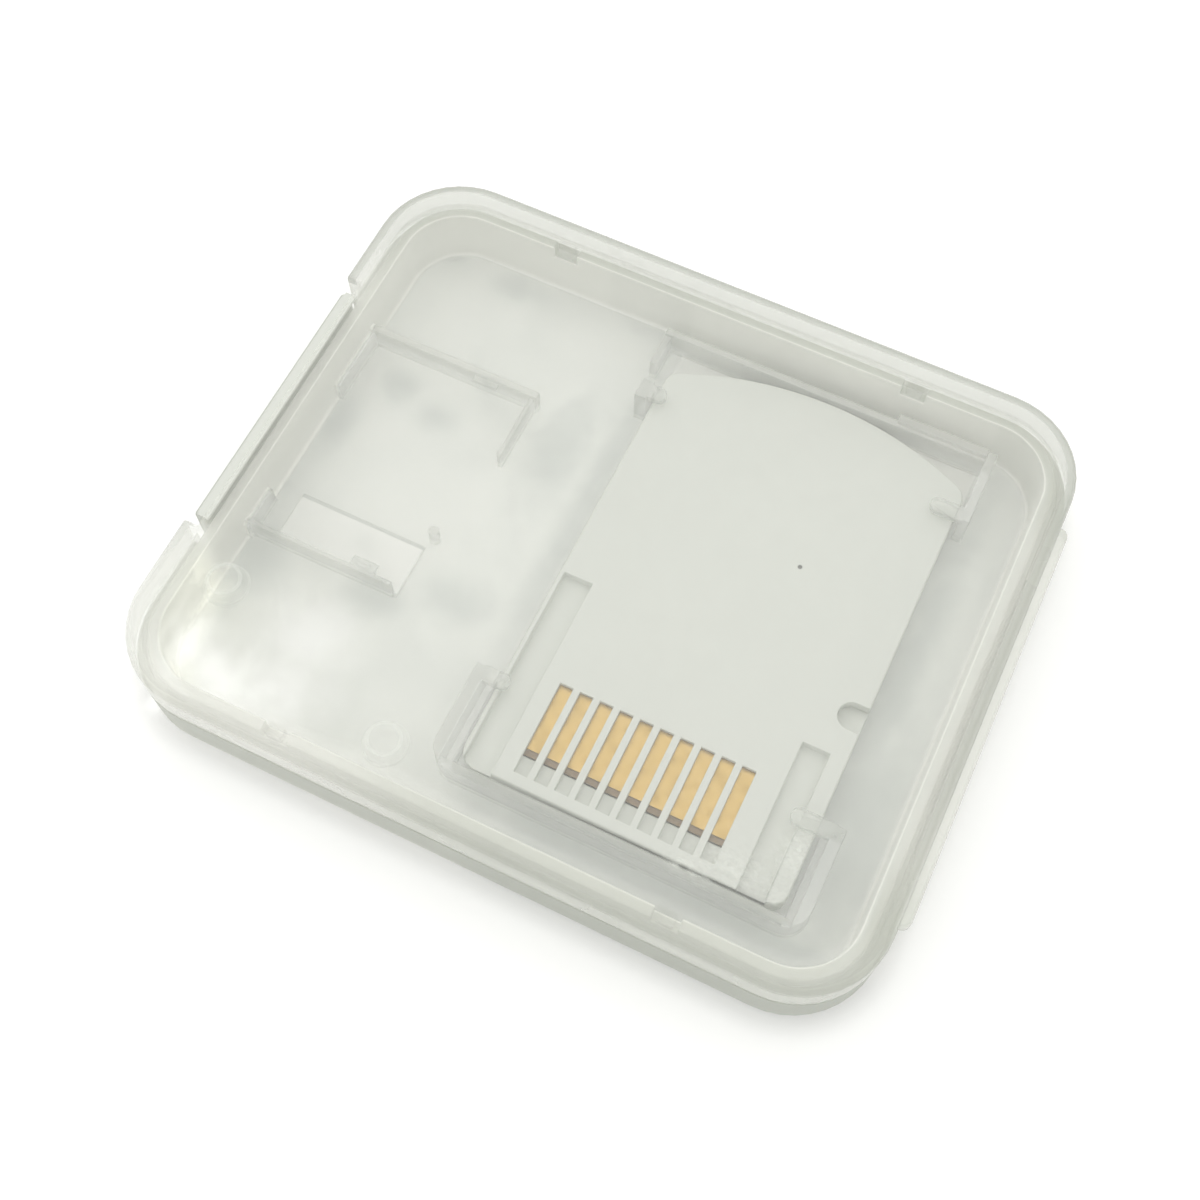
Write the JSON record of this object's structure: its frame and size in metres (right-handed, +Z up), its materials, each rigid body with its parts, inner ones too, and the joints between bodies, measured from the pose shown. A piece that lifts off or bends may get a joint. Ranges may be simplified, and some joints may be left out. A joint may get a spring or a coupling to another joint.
{
  "type": "memory card holder",
  "caption": "Flat hinged case of clear plastic that holds a thin card adapter in a cradle and has a pocket for a micro card.",
  "frame": {"origin": "centre of the case's footprint, on the surface it rests on", "axes": "+X from the hinge to the thumb lip, +Y towards the adapter's far end, +Z up through the lid"},
  "size_m": [0.047, 0.0394, 0.006],
  "materials": {
    "tray_plastic": "clear polypropylene, slightly milky",
    "strip_plastic": "clear polypropylene, milky where it is thick",
    "lid_plastic": "clear polypropylene, glossy",
    "adapter_plastic": "white plastic, fine matt",
    "board_laminate": "brown laminate",
    "chip_resin": "black moulding resin",
    "contact_gold": "gold plated",
    "spring_bronze": "plated spring bronze"
  },
  "bodies": {
    "tray_body": {"tray": "tray_plastic", "adapter_contact_shell": "adapter_plastic", "adapter_label_shell": "adapter_plastic", "adapter_circuit_board": "board_laminate", "adapter_controller_chip": "chip_resin", "adapter_contact_01": "contact_gold", "adapter_contact_02": "contact_gold", "adapter_contact_03": "contact_gold", "adapter_contact_04": "contact_gold", "adapter_contact_05": "contact_gold", "adapter_contact_06": "contact_gold", "adapter_contact_07": "contact_gold", "adapter_contact_08": "contact_gold", "adapter_contact_09": "contact_gold", "adapter_contact_10": "contact_gold", "adapter_slot_spring_1": "spring_bronze", "adapter_slot_spring_2": "spring_bronze", "adapter_slot_spring_3": "spring_bronze", "adapter_slot_spring_4": "spring_bronze", "adapter_slot_spring_5": "spring_bronze", "adapter_slot_spring_6": "spring_bronze", "adapter_slot_spring_7": "spring_bronze", "adapter_slot_spring_8": "spring_bronze"},
    "strip_body": {"hinge_strip": "strip_plastic"},
    "lid_body": {"lid": "lid_plastic"}
  },
  "joints": [
    {"name": "tray_fold", "type": "hinge", "parent": "tray_body", "child": "strip_body", "pos_m": [-0.02285, 0, 0.001], "axis": [0, -1, 0], "range_deg": [0, 90]},
    {"name": "lid_fold", "type": "hinge", "parent": "strip_body", "child": "lid_body", "pos_m": [-0.02285, 0, 0.005], "axis": [0, -1, 0], "range_deg": [0, 90]}
  ],
  "couplings": [
    {"joint": "tray_fold", "follows": "lid_fold", "ratio": 1}
  ]
}
